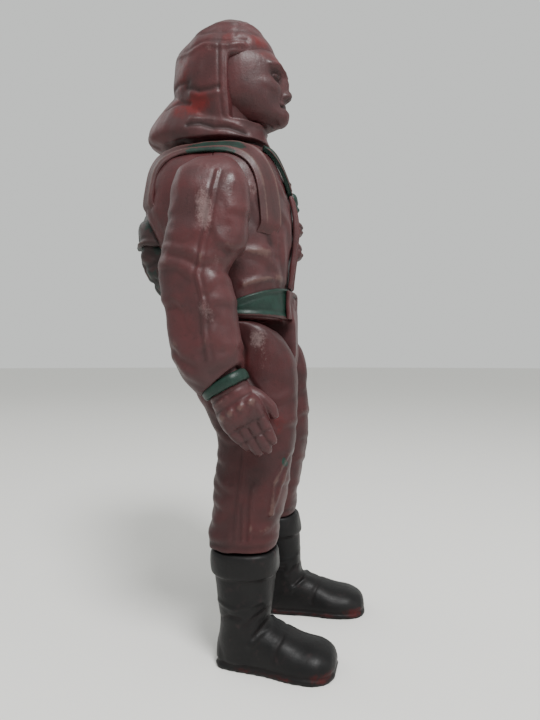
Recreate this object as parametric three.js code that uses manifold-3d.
// A jointed toy figure of a hooded pilot, 95 mm tall, in a flight suit with harness, belt, pack and boots.
// Millimetres, +Z up, the face towards -Y, the figure's right hand towards -X, the soles on Z = 0.
// Five joints turn it: the neck on a vertical peg, two shoulders and two hips on cross pegs. The torso is
// two shells that close on the pegs' flanges, and the soft limbs snap over the pegs' outer heads.
import * as THREE from "three";
import { mergeVertices } from "three/addons/utils/BufferGeometryUtils.js";
import Module from "manifold-3d";

const wasm = await Module();
wasm.setup();

// ---- Driving dimensions ----
const runningGap = 0.3; // between pieces that move past each other
const seatGap = 0.2; // between pieces that are fixed together
const pegGap = 0.25; // all round a peg in its socket
const beyond = 60; // past the figure on any side, for cutters

const hip = { y: 2.0, z: 40.4, radius: 7.6 };
const shoulder = { y: 5.3, z: hip.z + 24.1 };
const neckTop = hip.z + 34.8; // where the torso ends and the head begins
const bootTop = 16.4;
const toe = { right: -11.2, left: -14.8 }; // how far forward each toe stands
const footLength = { right: 16.5, left: 17.6 };
const torso = { halfWidth: 10.9, wall: 1.1 };
const crotchHalf = 2.5; // half the thickness of the block between the legs
const toeOut = 5; // degrees that each boot turns outwards

const red = new THREE.Color(0.2, 0.055, 0.055);
const green = new THREE.Color(0.012, 0.05, 0.028);
const black = new THREE.Color(0.012, 0.012, 0.013);
const suit = new THREE.MeshStandardMaterial({ color: red, roughness: 0.42 });
const greenPaint = new THREE.MeshStandardMaterial({ color: green, roughness: 0.5 });
const blackPaint = new THREE.MeshStandardMaterial({ color: black, roughness: 0.45 });
const pegPlastic = new THREE.MeshStandardMaterial({ color: 0xd8d2c4, roughness: 0.5 });

// ---- Solids: three.js geometry in, manifold-3d for joins and cuts, geometry out ----
function solid(geometry) {
  const plain = geometry.clone();
  plain.deleteAttribute("normal");
  plain.deleteAttribute("uv");
  const merged = mergeVertices(plain, 1e-4);
  return new wasm.Manifold(
    new wasm.Mesh({
      numProp: 3,
      vertProperties: new Float32Array(merged.attributes.position.array),
      triVerts: new Uint32Array(merged.index.array),
    }),
  );
}

function geometryOf(made) {
  const mesh = made.getMesh();
  const geometry = new THREE.BufferGeometry();
  geometry.setAttribute("position", new THREE.BufferAttribute(mesh.vertProperties, 3));
  geometry.setIndex(new THREE.BufferAttribute(mesh.triVerts, 1));
  geometry.computeVertexNormals();
  return geometry;
}

const meshes = {};

function piece(name, made, material, group) {
  const mesh = new THREE.Mesh(geometryOf(made), material);
  mesh.name = name;
  group.add(mesh);
  meshes[name] = mesh;
}

// A round or squarish bar lofted through stations. Each station has its centre (x, y, z), half-sizes
// wide (X) and deep (Y), tilt in degrees about X, and square, 2 for an ellipse and more for a box.
function loft(stations, { around = 24, along = 14, grow = 0 } = {}) {
  const full = stations.map((s) => ({ x: 0, tilt: 0, square: 2.4, ...s }));
  const centres = new THREE.CatmullRomCurve3(
    full.map((s) => new THREE.Vector3(s.x, s.y, s.z)),
    false,
    "centripetal",
  );
  const sizes = new THREE.CatmullRomCurve3(
    full.map((s) => new THREE.Vector3(s.wide + grow, s.deep + grow, s.square)),
  );
  const tilts = new THREE.CatmullRomCurve3(full.map((s) => new THREE.Vector3(s.tilt, 0, 0)));
  const geometry = new THREE.CylinderGeometry(1, 1, 1, around, along);
  const points = geometry.attributes.position;
  for (let i = 0; i < points.count; i += 1) {
    const t = 0.5 - points.getY(i);
    const radius = Math.hypot(points.getX(i), points.getZ(i));
    const angle = Math.atan2(-points.getZ(i), points.getX(i));
    const centre = centres.getPoint(t);
    const size = sizes.getPoint(t);
    const tilt = THREE.MathUtils.degToRad(tilts.getPoint(t).x);
    const across = rounded(Math.cos(angle), size.z) * size.x * radius;
    const back = rounded(Math.sin(angle), size.z) * size.y * radius;
    const end = grow * (1 - 2 * t);
    points.setXYZ(
      i,
      centre.x + across,
      centre.y + back * Math.cos(tilt),
      centre.z + back * Math.sin(tilt) + end,
    );
  }
  return solid(geometry);
}

function rounded(part, square) {
  return Math.sign(part) * Math.abs(part) ** (2 / square);
}

// A turned solid on the X axis or the Z axis, from [radius, along] points that start and end on the axis.
function turned(profile, { axis = "z", at = [0, 0, 0], around = 12 } = {}) {
  const points = profile.map(([r, along]) => new THREE.Vector2(r, along));
  const geometry = new THREE.LatheGeometry(points, around);
  if (axis === "z") geometry.rotateX(Math.PI / 2);
  else geometry.rotateZ(-Math.PI / 2);
  geometry.translate(...at);
  return solid(geometry);
}

function rod(radius, from, to, options) {
  const [low, high] = [Math.min(from, to), Math.max(from, to)];
  return turned([[0, low], [radius, low], [radius, high], [0, high]], options);
}

// A plate with the given Y-Z outline, from x = low to x = high.
function plate(outline, low, high) {
  const shape = new THREE.Shape(outline.map(([y, z]) => new THREE.Vector2(y, z)));
  const geometry = new THREE.ExtrudeGeometry(shape, { depth: high - low, bevelEnabled: false });
  geometry.applyMatrix4(new THREE.Matrix4().set(0, 0, 1, low, 1, 0, 0, 0, 0, 1, 0, 0, 0, 0, 0, 1));
  return solid(geometry);
}

function block([x0, x1], [y0, y1], [z0, z1]) {
  const geometry = new THREE.BoxGeometry(x1 - x0, y1 - y0, z1 - z0);
  geometry.translate((x0 + x1) / 2, (y0 + y1) / 2, (z0 + z1) / 2);
  return solid(geometry);
}

// Everything above (or below) a height, as a cutter.
const above = (z) => block([-beyond, beyond], [-beyond, beyond], [z, z + 2 * beyond]);
const below = (z) => block([-beyond, beyond], [-beyond, beyond], [z - 2 * beyond, z]);

// ---- Pegs: a flange held between the shells, a stem, and a head that the limb snaps over ----
const neckPeg = { flange: 3.2, stem: 1.9, head: 2.7 };
const shoulderPeg = { flange: 3.0, stem: 1.8, head: 2.5 };
const hipAxle = { flange: 2.4, stem: 1.5, head: 2.3, flangeHalf: 0.8 };
const flangeThick = 1.4;
const headThick = 2.2;

// [radius, along] from the flange's inner face to the head's far end, grown by gap for a socket.
function pegProfile({ flange, stem, head }, { start, reach }, gap = 0) {
  const headStart = start + reach - headThick;
  return [
    [0, start - gap],
    [flange + gap, start - gap],
    [flange + gap, start + flangeThick + gap],
    [stem + gap, start + flangeThick + gap],
    [stem + gap, headStart - gap],
    [head + gap, headStart - gap],
    [head + gap, headStart + headThick * 0.4],
    [stem * 0.8 + gap, start + reach + gap],
    [0, start + reach + gap],
  ];
}

const neckWall = 2.4; // torso roof above the neck peg's flange
const neckSpan = { start: neckTop - neckWall - flangeThick - pegGap, reach: 10.2 };
const shoulderSpan = { start: torso.halfWidth - torso.wall - flangeThick - pegGap, reach: 7.6 };
const hipReach = 7.4; // from the middle of the axle to the end of a head

// The torso leans back: its parting plane goes through the hip, shoulder and neck axes.
const lean = Math.atan2(shoulder.y - hip.y, shoulder.z - hip.z);
const partingY = (z) => hip.y + Math.tan(lean) * (z - hip.z);
const neckY = partingY(neckTop);

function neckPegSolid(gap = 0) {
  return turned(pegProfile(neckPeg, neckSpan, gap), { at: [0, neckY, 0] });
}

function mirroredX(profile, side) {
  return side > 0 ? profile : profile.map(([r, along]) => [r, -along]).reverse();
}

function shoulderPegSolid(side, gap = 0) {
  const profile = mirroredX(pegProfile(shoulderPeg, shoulderSpan, gap), side);
  return turned(profile, { axis: "x", at: [0, shoulder.y, shoulder.z] });
}

function hipAxleSolid(gap = 0) {
  const { flange, stem, head, flangeHalf } = hipAxle;
  const half = [
    [flange + gap, flangeHalf + gap],
    [stem + gap, flangeHalf + gap],
    [stem + gap, hipReach - headThick - gap],
    [head + gap, hipReach - headThick - gap],
    [head + gap, hipReach - headThick * 0.6],
    [stem * 0.8 + gap, hipReach + gap],
    [0, hipReach + gap],
  ];
  const otherHalf = half.map(([r, along]) => [r, -along]).reverse();
  return turned([...otherHalf, ...half], { axis: "x", at: [0, hip.y, hip.z] });
}

// ---- Torso: two shells that meet on the parting plane ----
const torsoBottom = hip.z + hip.radius + runningGap;
const torsoHeight = neckTop - torsoBottom;
const torsoZ = (t) => torsoBottom + t * torsoHeight;

// off is how far the section's centre is behind the parting plane.
const torsoStations = [
  { t: 1, off: 0.25, wide: torso.halfWidth - 5.9, deep: 5.9 },
  { t: 0.955, off: 1.0, wide: torso.halfWidth - 3.9, deep: 8.5 },
  { t: 0.88, off: 1.45, wide: torso.halfWidth - 1.5, deep: 9.7 },
  { t: 0.76, off: 1.7, wide: torso.halfWidth - 0.1, deep: 10.6 },
  { t: 0.55, off: 2.1, wide: torso.halfWidth, deep: 11.2 },
  { t: 0.32, off: 1.45, wide: torso.halfWidth, deep: 9.2 },
  { t: 0.14, off: 0.9, wide: torso.halfWidth - 0.3, deep: 7.4 },
  { t: 0, off: 0.9, wide: torso.halfWidth - 0.5, deep: 6.9 },
].map((s) => ({ ...s, y: partingY(torsoZ(s.t)) + s.off, z: torsoZ(s.t), square: 2.7 }));

// How far forward, or back, the torso's middle reaches at a height.
function torsoReach(z, side) {
  const above = torsoStations.findLast((s) => s.z >= z) ?? torsoStations[0];
  const below = torsoStations.find((s) => s.z <= z) ?? torsoStations.at(-1);
  const share = above === below ? 0 : (z - below.z) / (above.z - below.z);
  return THREE.MathUtils.lerp(below.y + side * below.deep, above.y + side * above.deep, share);
}
const torsoFrontY = (z) => torsoReach(z, -1);
const torsoBackY = (z) => torsoReach(z, 1);

const torsoForm = (grow = 0) => loft(torsoStations, { around: 24, along: 12, grow });

// The T-shaped block below the shells that carries the hip axle between the legs.
const crotchDrop = 4.6; // below the hip axis
const crotchBlock = plate(
  [
    [hip.y - 6.2, torsoBottom + 3],
    [hip.y - 6.5, torsoBottom - 0.4],
    [hip.y - 6.6, hip.z + 3],
    [hip.y - 6.0, hip.z - 1],
    [hip.y - 3.8, hip.z - crotchDrop + 1],
    [hip.y, hip.z - crotchDrop],
    [hip.y + 3.4, hip.z - crotchDrop + 1],
    [hip.y + 6.2, hip.z],
    [hip.y + 7.6, torsoBottom + 3],
  ],
  -crotchHalf,
  crotchHalf,
);

// Locating pins on the front shell go into sleeves on the back shell, beside the side walls.
const boss = { radius: 1.8, reach: 3.4 };
const pin = { radius: 0.9, reach: 2.4 };
const bossPlaces = [-1, 1].flatMap((side) => [
  [side * (torso.halfWidth - 2.6), torsoZ(0.2)],
  [side * (torso.halfWidth - 3.3), torsoZ(0.84)],
]);

// A bar square to the parting plane at (x, z), from low to high behind that plane.
function partingBar(radius, x, z, low, high) {
  const geometry = new THREE.CylinderGeometry(radius, radius, high - low, 12);
  geometry.translate(0, (low + high) / 2, 0);
  geometry.rotateX(-lean);
  geometry.translate(x, partingY(z), z);
  return solid(geometry);
}

function hollowTorso() {
  const outer = torsoForm();
  const cavity = torsoForm(-torso.wall)
    .intersect(above(torsoBottom + torso.wall))
    .intersect(below(neckSpan.start - 0.6));
  const inTorso = crotchBlock.intersect(above(torsoBottom)).intersect(outer);
  const belowTorso = crotchBlock.intersect(below(torsoBottom));
  let made = outer.subtract(cavity).add(inTorso).add(belowTorso);
  for (const [x, z] of bossPlaces) {
    made = made.add(partingBar(boss.radius, x, z, -boss.reach, boss.reach).intersect(outer));
  }
  for (const side of [-1, 1]) made = made.subtract(shoulderPegSolid(side, pegGap));
  return made.subtract(neckPegSolid(pegGap)).subtract(hipAxleSolid(pegGap));
}

// Half of space in front of (-1) or behind (+1) the parting plane, half a seat gap away from it.
function partingSide(side) {
  const geometry = new THREE.BoxGeometry(2 * beyond, beyond, 4 * beyond);
  geometry.translate(0, side * (beyond / 2 + seatGap / 2), 0);
  geometry.rotateX(-lean);
  geometry.translate(0, hip.y, hip.z);
  return solid(geometry);
}

const torsoBody = hollowTorso();
let torsoFront = torsoBody.intersect(partingSide(-1));
let torsoBack = torsoBody.intersect(partingSide(1));
for (const [x, z] of bossPlaces) {
  torsoFront = torsoFront.add(partingBar(pin.radius, x, z, -1, pin.reach));
  torsoBack = torsoBack.subtract(partingBar(pin.radius + pegGap, x, z, -1, pin.reach + pegGap));
}

const figure = new THREE.Group();
piece("torso_front", torsoFront, suit, figure);
piece("torso_back", torsoBack, suit, figure);
piece("neck_peg", neckPegSolid(), pegPlastic, figure);
piece("right_shoulder_peg", shoulderPegSolid(-1), pegPlastic, figure);
piece("left_shoulder_peg", shoulderPegSolid(1), pegPlastic, figure);
piece("hip_axle", hipAxleSolid(), pegPlastic, figure);

// ---- Trim that hugs the torso: a skin of the given thickness, one seat gap off the shells ----
const trimThick = 0.7;
const skin = (thick = trimThick) => torsoForm(seatGap + thick).subtract(torsoForm(seatGap));
const trimSkin = skin();

// ---- Belt, with its buckle and two keepers ----
const belt = { low: torsoBottom + 0.3, sideHigh: torsoBottom + 2.4, frontHigh: torsoBottom + 4.9 };
const frontY = torsoStations.at(-2).y - torsoStations.at(-2).deep; // the belly at belt height
const beltOutline = [
  [frontY - 6, belt.low],
  [hip.y + beyond / 2, belt.low],
  [hip.y + beyond / 2, belt.sideHigh],
  [hip.y + 1, belt.sideHigh],
  [frontY - 0.5, belt.frontHigh],
  [frontY - 6, belt.frontHigh],
];
const beltBand = plate(beltOutline, -beyond, beyond);
const keeper = { inner: 3.4, outer: 4.8, thick: 0.5 };
const buckle = { halfWidth: 2.8, thick: 0.6, margin: 0.25 };

const beltSolid = trimSkin.intersect(beltBand);
const beltCover = seatGap + trimThick + seatGap; // from the torso to whatever lies on the belt

function onBelt(x0, x1, thick, margin) {
  const ring = torsoForm(beltCover + thick).subtract(torsoForm(beltCover));
  const window = block([x0, x1], [-beyond, hip.y], [belt.low, belt.frontHigh - margin]);
  return ring.intersect(window);
}

piece("belt", beltSolid, greenPaint, figure);
piece("belt_buckle", onBelt(-buckle.halfWidth, buckle.halfWidth, buckle.thick, 0), suit, figure);
for (const [name, side] of [["right_belt_keeper", -1], ["left_belt_keeper", 1]]) {
  const edges = [side * keeper.inner, side * keeper.outer].sort((a, b) => a - b);
  piece(name, onBelt(...edges, keeper.thick, 0.4), suit, figure);
}

// ---- Pack on the back: a soft bag with a lid over its top ----
const pack = { low: torsoBottom + 3.1, high: torsoBottom + 16.2, halfWidth: 7.2, stand: 3.0, wall: 1.1, lid: 0.6 };
const packZ = (t) => pack.low + t * (pack.high - pack.low);
const packBackY = torsoBackY(packZ(0.5)); // the torso's back behind the bag's middle
const packStations = [
  { t: 1, y: packBackY + 0.2, wide: pack.halfWidth * 0.6, deep: 1.9 },
  { t: 0.88, y: packBackY + 0.1, wide: pack.halfWidth * 0.9, deep: 3.4 },
  { t: 0.55, y: packBackY, wide: pack.halfWidth, deep: pack.stand + 0.5 },
  { t: 0.25, y: packBackY - 0.6, wide: pack.halfWidth * 0.95, deep: pack.stand },
  { t: 0, y: packBackY - 2, wide: pack.halfWidth * 0.6, deep: 1.8 },
].map((s) => ({ ...s, z: packZ(s.t), square: 2.8 }));
const packForm = (grow = 0) => loft(packStations, { around: 18, along: 8, grow });
const lidLine = packZ(0.62);
const torsoClear = torsoForm(seatGap);

const bagHollow = loft(packStations, { around: 12, along: 6, grow: -pack.wall }); // open towards the torso
piece("backpack_bag", packForm().subtract(bagHollow).subtract(torsoClear), greenPaint, figure);
piece(
  "backpack_lid",
  packForm(seatGap + pack.lid)
    .subtract(packForm(seatGap))
    .intersect(above(lidLine))
    .subtract(torsoClear),
  greenPaint,
  figure,
);

const headBottom = neckTop + runningGap + 0.1;

// ---- Harness: a strap over each shoulder, from under the arm in front to the top of the pack ----
const strap = { centre: 8.0, halfWidth: 1.3, frontLow: torsoZ(0.45), hoodGap: 0.05 };
const packClear = packForm(seatGap + pack.lid + seatGap);
const underHood = below(headBottom - strap.hoodGap); // the hood turns over the straps
const belowStrap = block([-beyond, beyond], [-beyond, beyond], [0, strap.frontLow]);
const backCutBelow = packZ(1) + pack.lid + 2 * seatGap;
const backLower = block([-beyond, beyond], [neckY, beyond], [0, backCutBelow]);

for (const [name, side] of [["right_harness_strap", -1], ["left_harness_strap", 1]]) {
  const middle = side * strap.centre;
  const band = block([middle - strap.halfWidth, middle + strap.halfWidth], [-beyond, beyond], [0, beyond * 2]);
  const made = trimSkin.intersect(band).intersect(underHood).subtract(belowStrap).subtract(backLower).subtract(packClear);
  piece(name, made, greenPaint, figure);
}

// ---- Jacket front: the zip flap and the V of the collar ----
const placket = { halfWidth: 1.4, top: torsoZ(0.72) };
const frontHalf = block([-beyond, beyond], [-beyond, neckY], [0, beyond * 2]);
const placketBand = block(
  [-placket.halfWidth, placket.halfWidth],
  [-beyond, hip.y],
  [belt.frontHigh + seatGap, placket.top],
);
piece("zip_flap", trimSkin.intersect(placketBand), suit, figure);

const collar = { halfWidth: 1.0, low: placket.top + 1.2, spread: 4.4, high: torsoZ(0.96) };

// One leg of the V: a slab that runs up and out from the middle of the chest.
function collarLeg(side) {
  const rise = collar.high - collar.low;
  const geometry = new THREE.BoxGeometry(2 * collar.halfWidth, beyond, 2 * rise);
  geometry.rotateY(side * Math.atan2(collar.spread, rise));
  geometry.translate((side * collar.spread) / 2, -beyond / 2 + hip.y + 1, (collar.low + collar.high) / 2);
  return solid(geometry);
}

const collarWindow = above(collar.low - 0.6).intersect(below(collar.high)).intersect(frontHalf);
const collarV = collarLeg(-1).add(collarLeg(1)).intersect(collarWindow);
piece("collar_trim", trimSkin.intersect(collarV), greenPaint, figure);

// ---- Chest pouch: three soft cells in a row down the left of the chest ----
const pouch = { x: 3.9, halfWidth: 1.75, stand: 1.3, high: torsoZ(0.8) };
const cells = [
  ["chest_pouch_top", 2.2, greenPaint],
  ["chest_pouch_middle", 1.5, suit],
  ["chest_pouch_bottom", 1.8, suit],
];
let cellTop = pouch.high;
for (const [name, halfHeight, material] of cells) {
  const z = cellTop - halfHeight;
  const geometry = new THREE.SphereGeometry(1, 14, 10);
  geometry.scale(pouch.halfWidth, pouch.stand + 0.8, halfHeight);
  geometry.translate(pouch.x, torsoFrontY(z) + 0.5, z);
  piece(name, solid(geometry).subtract(torsoClear), material, figure);
  cellTop -= 2 * halfHeight + seatGap;
}

// ---- Head: face, skull and neck in one, snapped on the neck peg, under a hood with a neck cape ----
const headHeight = 19.8;
const headZ = (t) => headBottom + t * headHeight;
const face = { halfWidth: 6.5, front: -9.3, openTop: 0.6, openLow: 0.15, openBack: -2.4 };
const neckRadius = 4.2;

// y is behind the neck's axis, here and in the hood.
const skullStations = [
  { t: 0.8, y: -1.2, wide: 3.7, deep: 4.9 },
  { t: 0.69, y: -1.2, wide: 5.7, deep: 7.2 },
  { t: 0.58, y: -1.5, wide: face.halfWidth, deep: -1.5 - face.front },
  { t: 0.44, y: -1.8, wide: face.halfWidth, deep: -1.8 - face.front },
  { t: 0.32, y: -2.4, wide: face.halfWidth - 0.6, deep: 6.9 },
  { t: 0.22, y: -3.4, wide: 4.4, deep: 5.9 },
  { t: 0.17, y: -3.2, wide: 3.2, deep: 4.2 },
].map((s) => ({ ...s, y: neckY + s.y, z: headZ(s.t), square: 2.3 }));

const hoodStations = [
  { t: 1, y: -1.2, wide: 1.0, deep: 1.8 },
  { t: 0.955, y: -1.0, wide: 2.4, deep: 3.5 },
  { t: 0.9, y: -0.8, wide: 3.8, deep: 5.0 },
  { t: 0.81, y: -0.5, wide: 5.4, deep: 6.7 },
  { t: 0.7, y: -0.3, wide: 6.9, deep: 8.0 },
  { t: 0.525, y: -0.25, wide: 7.4, deep: 8.4 },
  { t: 0.37, y: -0.2, wide: 7.2, deep: 8.1 },
  { t: 0.22, y: 0, wide: 6.8, deep: 7.3 },
  { t: 0.1, y: 0.1, wide: 6.4, deep: 6.5 },
].map((s) => ({ ...s, y: neckY + s.y, z: headZ(s.t), square: 2.2 }));

// The cape is a cowl round the neck that stands out behind.
const capeStations = [
  { t: 0.42, y: 2.3, wide: 4.5, deep: 5.7 },
  { t: 0.32, y: 2.6, wide: 5.4, deep: 7.4 },
  { t: 0.23, y: 2.9, wide: 6.2, deep: 8.6 },
  { t: 0.15, y: 3.1, wide: 6.7, deep: 9.4 },
  { t: 0.07, y: 2.8, wide: 7.0, deep: 9.5 },
  { t: 0, y: 1.6, wide: 6.8, deep: 8.9 },
].map((s) => ({ ...s, y: neckY + s.y, z: headZ(s.t), square: 2.2 }));

const hoodThick = 1.2;
const neckBase = neckSpan.start + neckSpan.reach - headThick - pegGap; // what the peg's head snaps behind
const headWall = 1.1;

// The skull fills the hood from inside; the face stands out of the hood's opening.
function headForm(grow = 0) {
  const neck = rod(neckRadius + grow, headBottom - grow, headZ(0.3), { at: [0, neckY, 0], around: 16 });
  const inHood = loft(hoodStations, { around: 16, along: 8, grow: grow - hoodThick - seatGap });
  return loft(skullStations, { around: 20, along: 8, grow })
    .add(inHood.intersect(above(neckBase - 1.6 - grow)))
    .add(neck);
}

const faceOpening = block(
  [-beyond, beyond],
  [-beyond, neckY + face.openBack],
  [headZ(face.openLow), headZ(face.openTop)],
);
// Under the cape there is a hollow, as if it were cloth.
const underCape = loft(capeStations, { around: 14, along: 6, grow: -hoodThick })
  .translate(0, 0, -2 * hoodThick)
  .intersect(block([-beyond, beyond], [neckY + neckRadius, beyond], [0, 2 * beyond]));
const hoodSolid = loft(hoodStations, { around: 20, along: 10 })
  .add(loft(capeStations, { around: 20, along: 7 }))
  .subtract(underCape)
  .subtract(headForm(seatGap))
  .subtract(faceOpening);

// A short nose gives the plain face its profile.
const nose = new THREE.SphereGeometry(1, 10, 8);
nose.scale(0.9, 1.0, 1.6);
nose.translate(0, neckY + face.front + 0.1, headZ(0.46));

const head = new THREE.Group();
head.position.set(0, neckY, neckTop);
figure.add(head);
const fromNeck = (made) => made.translate(0, -neckY, -neckTop);
const hollow = loft(hoodStations, { around: 12, along: 6, grow: -hoodThick - seatGap - headWall })
  .add(loft(skullStations, { around: 12, along: 6, grow: -headWall }))
  .intersect(above(neckBase));
const headSolid = headForm().add(solid(nose)).subtract(neckPegSolid(pegGap)).subtract(hollow);
piece("head", fromNeck(headSolid), suit, head);
piece("hood", fromNeck(hoodSolid), suit, head);

// ---- Arms: sleeve, wrist cuff and gloved hand, in a frame at the shoulder axis ----
const armInner = torso.halfWidth + runningGap + 0.2; // the sleeve's flat side at the shoulder
const armSplay = 0.7; // how much further out the forearm hangs
// down is below the shoulder axis, y behind it; out is added to the sleeve's distance from the torso.
const sleeveStations = [
  { down: -5.1, y: -0.5, wide: 1.6, deep: 1.6, out: 0.2 },
  { down: -4.0, y: -0.4, wide: 3.2, deep: 3.4, out: -0.9 },
  { down: -2.0, y: -0.4, wide: 3.9, deep: 4.7, out: -0.9 },
  { down: 0.8, y: -0.4, wide: 4.2, deep: 5.2, out: -0.9 },
  { down: 6.5, y: 0.3, wide: 4.1, deep: 5.3, out: -0.3 },
  { down: 10, y: 1.6, wide: 3.7, deep: 4.5, out: armSplay },
  { down: 12.5, y: 1.3, wide: 3.7, deep: 4.7, out: armSplay },
  { down: 19.3, y: 0.25, wide: 3.7, deep: 4.7, out: armSplay },
  { down: 22.6, y: -0.4, wide: 3.6, deep: 4.4, out: armSplay, tilt: -8 },
  { down: 24.6, y: -1.9, wide: 3.0, deep: 3.2, out: armSplay + 0.6, tilt: -34 },
];

const sleeveWall = 1.0;
const sleeveHollow = { top: shoulderPeg.head - 0.1, low: 21 }; // it opens into the peg's socket

const wrist = { down: 24.6, y: -2.2, tilt: -29, out: armSplay + 3.6 };
const cuff = { width: 1.3, wide: 2.8, deep: 3.1 };
const wristStub = { wide: 1.9, deep: 2.2, depth: 3.2 };
// past is how far past the wrist, along the hand.
const stubStations = [-wristStub.depth, cuff.width + 1].map((past) => ({
  past,
  wide: wristStub.wide,
  deep: wristStub.deep,
}));
const handStations = [
  { past: cuff.width + seatGap, wide: 2.3, deep: 2.7 },
  { past: 4.2, wide: 2.4, deep: 3.3 },
  { past: 7.0, wide: 2.1, deep: 3.3 },
  { past: 9.4, wide: 1.7, deep: 2.6 },
  { past: 11.3, wide: 1.0, deep: 1.4 },
];

function alongHand(side, { past, y = 0, ...rest }) {
  const tilt = THREE.MathUtils.degToRad(wrist.tilt);
  return {
    x: side * (armInner + wrist.out),
    y: wrist.y + past * Math.sin(tilt) + y * Math.cos(tilt),
    z: -wrist.down - past * Math.cos(tilt) + y * Math.sin(tilt),
    tilt: wrist.tilt,
    square: 2.4,
    ...rest,
  };
}

// The thumb lies along the front of the palm.
function thumb(side) {
  const stations = [
    { past: 2.6, y: -1.8, wide: 1.0, deep: 1.2 },
    { past: 4.6, y: -3.1, wide: 1.1, deep: 1.2 },
    { past: 7.2, y: -3.3, wide: 0.7, deep: 0.8 },
  ];
  return loft(stations.map((s) => alongHand(side, s)), { around: 10, along: 4 });
}

function addArm(side, label) {
  const arm = new THREE.Group();
  arm.position.set(0, shoulder.y, shoulder.z);
  figure.add(arm);
  const sleeve = sleeveStations.map(({ down, out, ...s }) => ({
    ...s,
    x: side * (armInner + s.wide + out),
    z: -down,
    square: 2.5,
  }));
  const stub = stubStations.map((s) => alongHand(side, s));
  const socket = loft(stub, { around: 14, along: 1, grow: seatGap });
  const pegSocket = shoulderPegSolid(side, pegGap).translate(0, -shoulder.y, -shoulder.z);
  const ring = [0, cuff.width].map((past) => alongHand(side, { past, wide: cuff.wide, deep: cuff.deep }));
  const cuffSolid = loft(ring, { around: 16, along: 1 }).subtract(socket);
  const cuffClear = loft(ring, { around: 16, along: 1, grow: seatGap });
  const inner = block(side > 0 ? [0, armInner] : [-armInner, 0], [-beyond, beyond], [-beyond, beyond]);
  const hollow = loft(sleeve, { around: 12, along: 8, grow: -sleeveWall })
    .intersect(below(-sleeveHollow.top))
    .intersect(above(-sleeveHollow.low));
  const sleeveSolid = loft(sleeve, { around: 18, along: 12 })
    .subtract(inner)
    .subtract(hollow)
    .subtract(pegSocket)
    .subtract(socket)
    .subtract(cuffClear);
  const handSolid = loft(handStations.map((s) => alongHand(side, s)), { around: 14, along: 8 })
    .add(thumb(side))
    .add(loft(stub, { around: 14, along: 1 }));
  piece(`${label}_arm`, sleeveSolid, suit, arm);
  piece(`${label}_cuff`, cuffSolid, greenPaint, arm);
  piece(`${label}_hand`, handSolid, suit, arm);
}

addArm(-1, "right");
addArm(1, "left");

// ---- Legs: trouser leg with a hip disc, and a boot plugged on its lower end ----
const legInner = crotchHalf + runningGap;
const legDrop = hip.z - bootTop; // from the hip axis to the top of the boot
const hipDisc = { wide: 8.6, round: 1.2 };
const spigot = { wide: 2.8, deep: 3.2, depth: 4.5 };
const legSplay = 1.9; // how much further out the boot's top is than the hip
// t runs from the hip axis to the top of the boot; y is behind the hip axis.
const trouserStations = [
  { t: 0, y: -0.6, wide: 4.3, deep: 6.6 },
  { t: 0.16, y: -1.2, wide: 4.4, deep: 6.2 },
  { t: 0.4, y: -1.7, wide: 4.5, deep: 5.6 },
  { t: 0.63, y: -1.2, wide: 4.35, deep: 5.2 },
  { t: 0.76, y: -0.9, wide: 4.3, deep: 4.8 },
  { t: 0.86, y: -0.3, wide: 4.4, deep: 4.7 },
  { t: 0.94, y: -0.1, wide: 4.6, deep: 4.95 },
  { t: 1, y: 0, wide: 4.5, deep: 4.8 },
];
const boot = {
  cuffHeight: 3.7,
  cuffProud: 0.35,
  top: { wide: 4.0, deep: 4.3 },
  ankle: { wide: 3.5, deep: 3.5, z: 6.4 },
  y: -0.4, // behind the hip axis
};
// ahead runs from the heel (0) to the toe (1) of the foot.
const footStations = [
  { ahead: 0, wide: 2.4, top: 4.4 },
  { ahead: 0.06, wide: 3.3, top: 5.6 },
  { ahead: 0.25, wide: 3.6, top: 7.2 },
  { ahead: 0.48, wide: 3.8, top: 6.5 },
  { ahead: 0.7, wide: 4.3, top: 4.9 },
  { ahead: 0.86, wide: 4.2, top: 4.4 },
  { ahead: 0.96, wide: 3.1, top: 3.7 },
  { ahead: 1, wide: 1.9, top: 2.8 },
];

// The foot is lofted upright and then laid forward; the floor plane cuts its lower half away.
function footSolid(x, toeY, length, side) {
  const stations = footStations.map(({ ahead, wide, top }) => ({
    x: 0,
    y: 0,
    z: (ahead - 1) * length,
    wide,
    deep: top,
    square: 2.6,
  }));
  const upright = geometryOf(loft([...stations].reverse(), { around: 20, along: 10 }));
  upright.rotateX(Math.PI / 2);
  upright.translate(0, -length / 2, 0);
  upright.rotateZ(THREE.MathUtils.degToRad(side * toeOut));
  upright.translate(x, toeY + length / 2, 0);
  return solid(upright);
}

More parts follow.
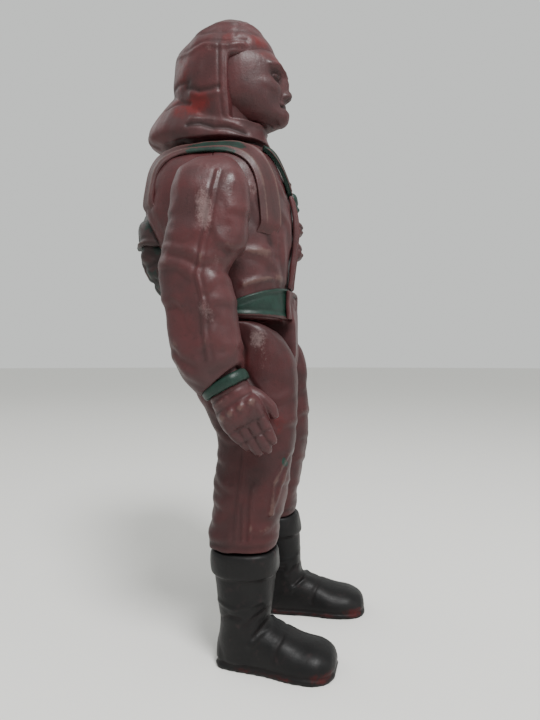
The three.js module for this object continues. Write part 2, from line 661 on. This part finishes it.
function addLeg(side, label) {
  const leg = new THREE.Group();
  leg.position.set(0, hip.y, hip.z);
  figure.add(leg);
  const stride = toe[label] - toe.right; // forward of the right foot
  const strideAt = (z) => stride * THREE.MathUtils.clamp(0.13 + 0.87 * (1 - z / bootTop), 0, 1);
  const axisX = side * (legInner + 4.4);
  const outAt = (t) => axisX + side * legSplay * t;
  const trousers = trouserStations.map((s) => ({
    ...s,
    x: outAt(s.t),
    y: s.y + stride * 0.13 * s.t,
    z: -legDrop * s.t,
    square: 2.5,
  }));
  const discRound = hipDisc.round;
  const discSpan = [legInner, legInner + hipDisc.wide];
  const discProfile = [
    [0, discSpan[0]],
    [hip.radius - 0.3, discSpan[0]],
    [hip.radius, discSpan[0] + 0.3],
    [hip.radius, discSpan[1] - discRound],
    [hip.radius - discRound, discSpan[1]],
    [0, discSpan[1]],
  ];
  const disc = turned(mirroredX(discProfile, side), { axis: "x", around: 28 });
  const bootX = outAt(1);
  const spigotStations = [0, spigot.depth].map((down) => ({
    x: bootX,
    y: boot.y + strideAt(bootTop),
    z: -legDrop - down,
    wide: spigot.wide,
    deep: spigot.deep,
  }));
  const innerCut = block([-beyond, beyond], [-beyond, beyond], [-beyond, beyond]).intersect(
    block(side > 0 ? [-beyond, legInner] : [-legInner, beyond], [-beyond, beyond], [-beyond, beyond]),
  );
  const axleSocket = hipAxleSolid(pegGap).translate(0, -hip.y, -hip.z);
  const legSolid = loft(trousers, { around: 18, along: 10 })
    .add(disc)
    .subtract(innerCut)
    .add(loft(spigotStations, { around: 20, along: 1 }))
    .subtract(axleSocket);

  const shaftY = (z) => boot.y + strideAt(z);
  const bootShape = [
    { z: bootTop - seatGap, ...boot.top },
    { z: bootTop - boot.cuffHeight, ...boot.top },
    { z: boot.ankle.z, ...boot.ankle },
    { z: 2, wide: boot.ankle.wide, deep: boot.ankle.deep + 0.5 },
  ].map((s) => ({ ...s, x: bootX, y: hip.y + shaftY(s.z) }));
  const cuffShape = [bootTop - seatGap, bootTop - boot.cuffHeight].map((z) => ({
    x: bootX,
    y: hip.y + shaftY(z),
    z,
    wide: boot.top.wide + boot.cuffProud,
    deep: boot.top.deep + boot.cuffProud,
  }));
  const socket = loft(spigotStations, { around: 20, along: 1, grow: seatGap }).translate(0, hip.y, hip.z);
  const bootSolid = loft(bootShape, { around: 18, along: 6 })
    .add(loft(cuffShape, { around: 18, along: 1 }))
    .add(footSolid(bootX, toe[label], footLength[label], side))
    .intersect(above(0))
    .subtract(socket)
    .translate(0, -hip.y, -hip.z);
  piece(`${label}_leg`, legSolid, suit, leg);
  piece(`${label}_boot`, bootSolid, blackPaint, leg);
}

addLeg(-1, "right");
addLeg(1, "left");

// ---- The part's origin: the middle of the figure's outline, on the floor ----
figure.updateMatrixWorld(true);
const middle = new THREE.Box3().setFromObject(figure).getCenter(new THREE.Vector3());
figure.position.set(-middle.x, -middle.y, 0);

export default figure;
